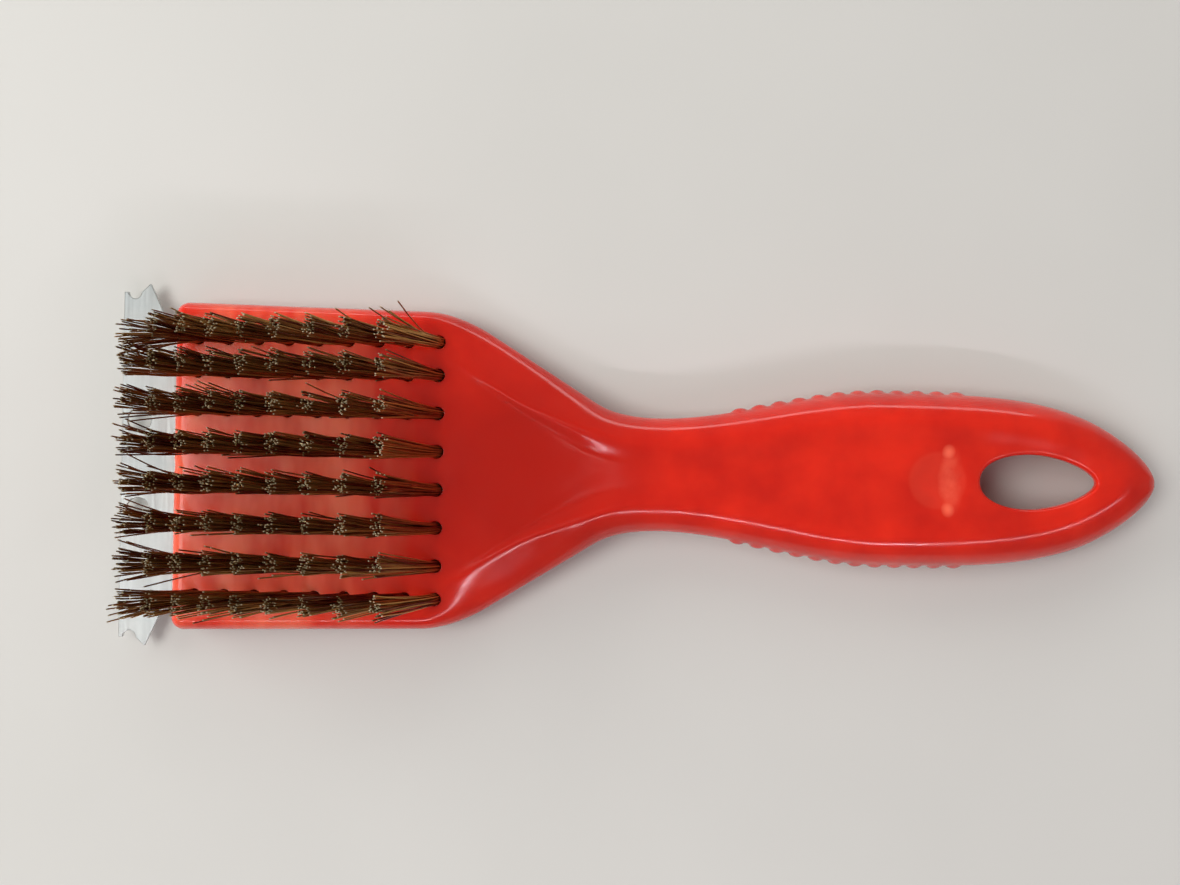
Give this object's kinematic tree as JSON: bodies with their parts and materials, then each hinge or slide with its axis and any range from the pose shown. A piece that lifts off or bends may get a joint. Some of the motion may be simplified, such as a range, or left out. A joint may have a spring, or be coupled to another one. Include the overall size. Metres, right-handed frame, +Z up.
{
  "type": "wire brush",
  "caption": "Hand brush for grill bars: red moulded head and handle with a hanging hole, leaning brass-plated wire tufts on the head and a steel scraper in its front.",
  "frame": {"origin": "under the middle of the whole brush, on the surface it lies on with its bristles up", "axes": "+X from the scraper to the end of the handle, +Y across the head, +Z up, the way the bristles point"},
  "size_m": [0.2222, 0.0782, 0.0337],
  "materials": {
    "plastic": "glossy moulded, slightly translucent",
    "scraper_steel": "bright zinc-plated sheet",
    "wire": "brass-plated steel wire, dull olive gold"
  },
  "bodies": {
    "root": {"handle_body": "plastic", "scraper_plate": "scraper_steel", "tufts_row_1_front": "wire", "tufts_row_1_middle": "wire", "tufts_row_1_rear": "wire", "tufts_row_2_front": "wire", "tufts_row_2_middle": "wire", "tufts_row_2_rear": "wire", "tufts_row_3_front": "wire", "tufts_row_3_middle": "wire", "tufts_row_3_rear": "wire", "tufts_row_4_front": "wire", "tufts_row_4_middle": "wire", "tufts_row_4_rear": "wire", "tufts_row_5_front": "wire", "tufts_row_5_middle": "wire", "tufts_row_5_rear": "wire", "tufts_row_6_front": "wire", "tufts_row_6_middle": "wire", "tufts_row_6_rear": "wire", "tufts_row_7_front": "wire", "tufts_row_7_middle": "wire", "tufts_row_7_rear": "wire", "tufts_row_8_front": "wire", "tufts_row_8_middle": "wire", "tufts_row_8_rear": "wire"}
  },
  "joints": []
}
